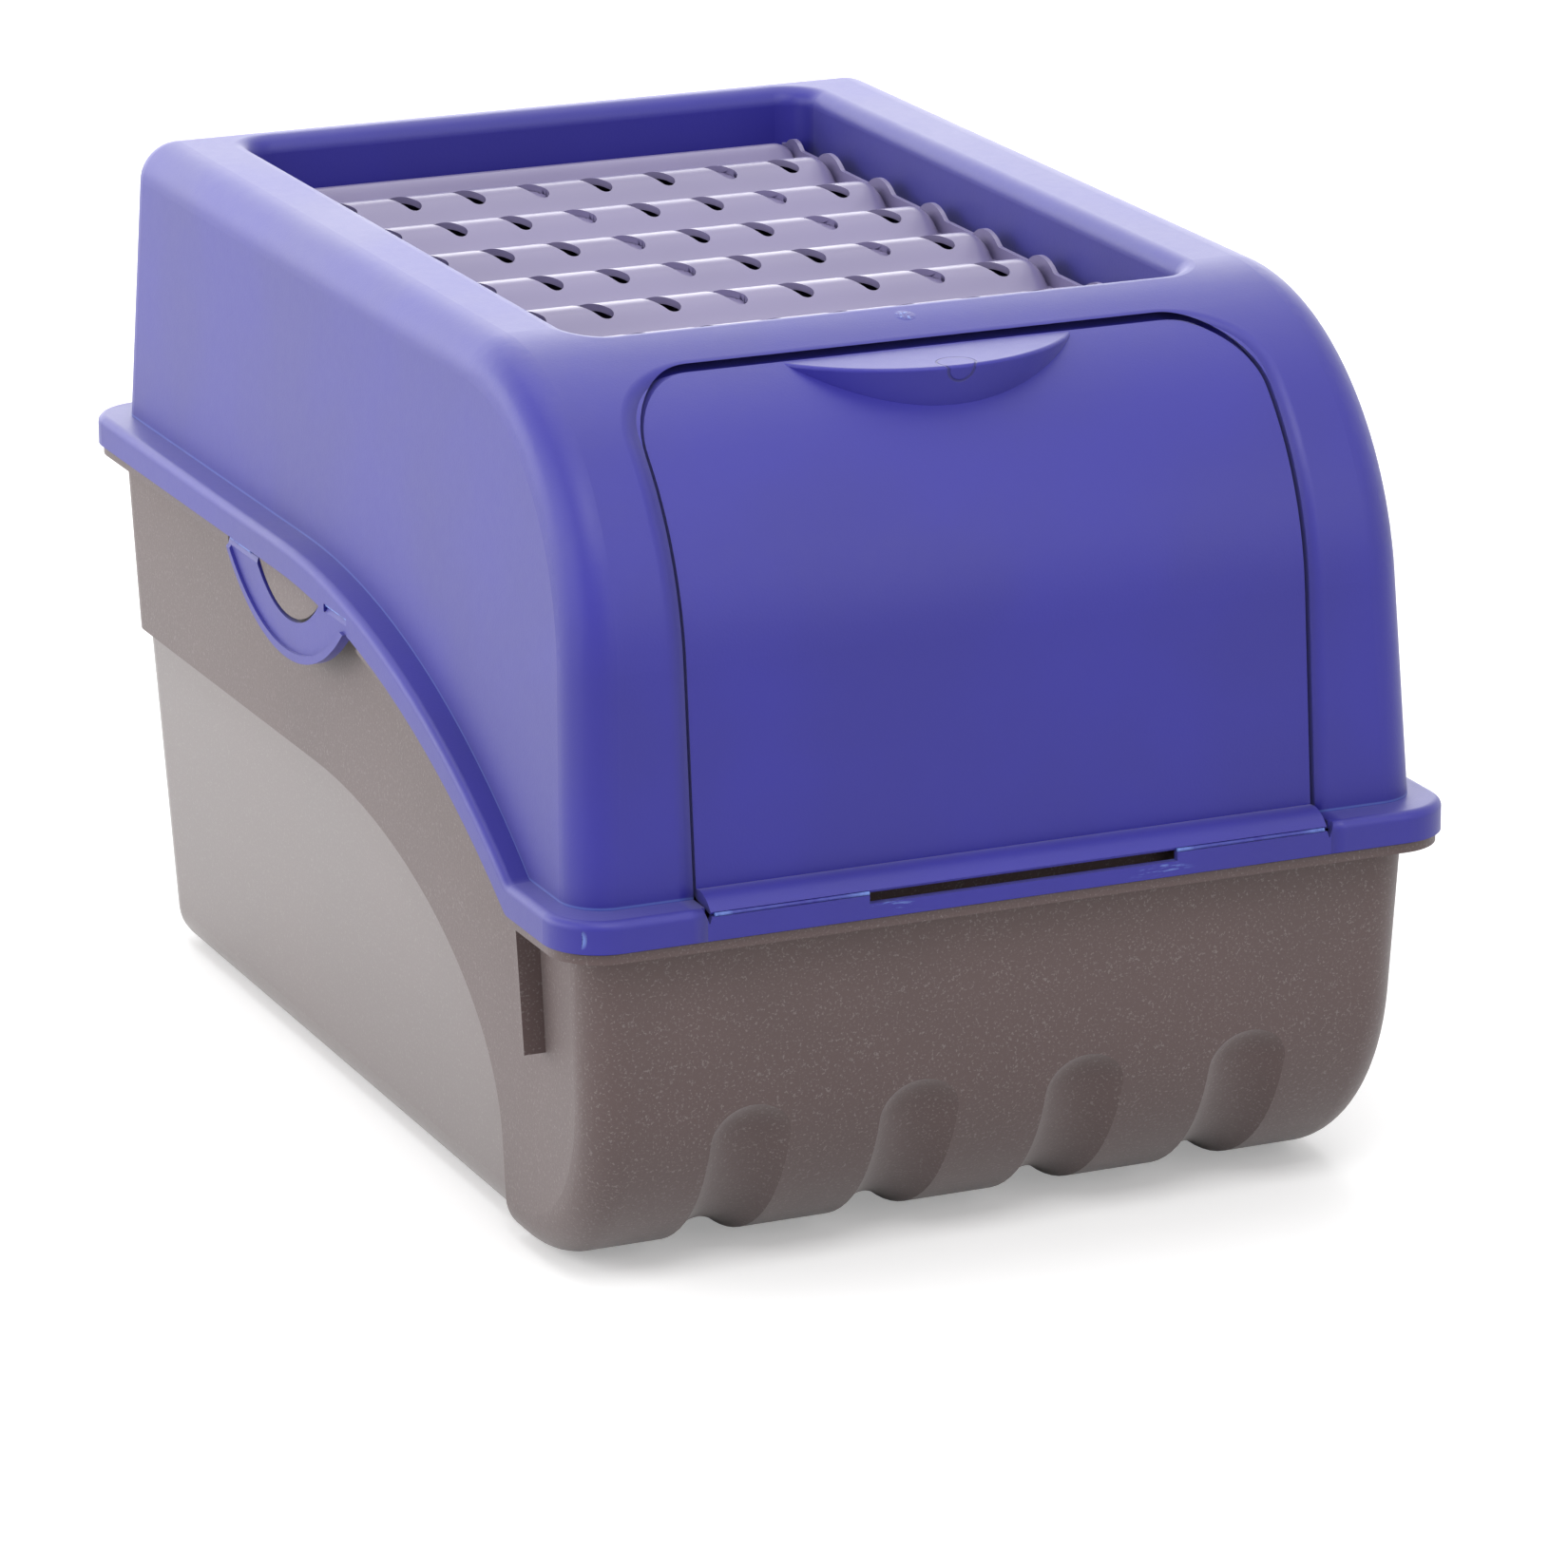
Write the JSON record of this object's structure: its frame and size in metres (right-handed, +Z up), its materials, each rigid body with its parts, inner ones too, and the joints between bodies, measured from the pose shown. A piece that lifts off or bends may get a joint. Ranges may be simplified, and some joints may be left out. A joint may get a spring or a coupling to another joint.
{
  "type": "potato storage bin",
  "caption": "Potato storage bin: grooved tub under a rounded hood with a bottom-hinged front flap and finger grip, a sunken perforated vent tray in its top and a pull latch on each side.",
  "frame": {"origin": "on the floor, under the middle of the bin's outline", "axes": "+Z up, the front flap faces -Y, +X to the right when facing along +Y"},
  "size_m": [0.2632, 0.382, 0.2478],
  "materials": {
    "tub_plastic": "matte moulded plastic with a fine spark texture",
    "hood_plastic": "satin moulded plastic with a fine spark texture",
    "tray_plastic": "smooth semi-gloss moulded plastic"
  },
  "bodies": {
    "bin_body": {"storage_tub": "tub_plastic", "hood": "hood_plastic", "vent_tray": "tray_plastic", "flap_film_hinge_left": "hood_plastic", "flap_film_hinge_right": "hood_plastic", "latch_film_hinge_left_front": "hood_plastic", "latch_film_hinge_left_rear": "hood_plastic", "latch_film_hinge_right_front": "hood_plastic", "latch_film_hinge_right_rear": "hood_plastic"},
    "flap": {"front_flap": "hood_plastic"},
    "left_latch": {"latch_left": "hood_plastic"},
    "right_latch": {"latch_right": "hood_plastic"}
  },
  "joints": [
    {"name": "flap_hinge", "type": "hinge", "parent": "bin_body", "child": "flap", "pos_m": [0, -0.1905, 0.1115], "axis": [1, 0, 0], "range_deg": [0, 100]},
    {"name": "left_latch_hinge", "type": "hinge", "parent": "bin_body", "child": "left_latch", "pos_m": [-0.1301, 0.0155, 0.1548], "axis": [0, 1, 0], "range_deg": [0, 100]},
    {"name": "right_latch_hinge", "type": "hinge", "parent": "bin_body", "child": "right_latch", "pos_m": [0.1301, 0.0155, 0.1548], "axis": [0, -1, 0], "range_deg": [0, 100]}
  ]
}
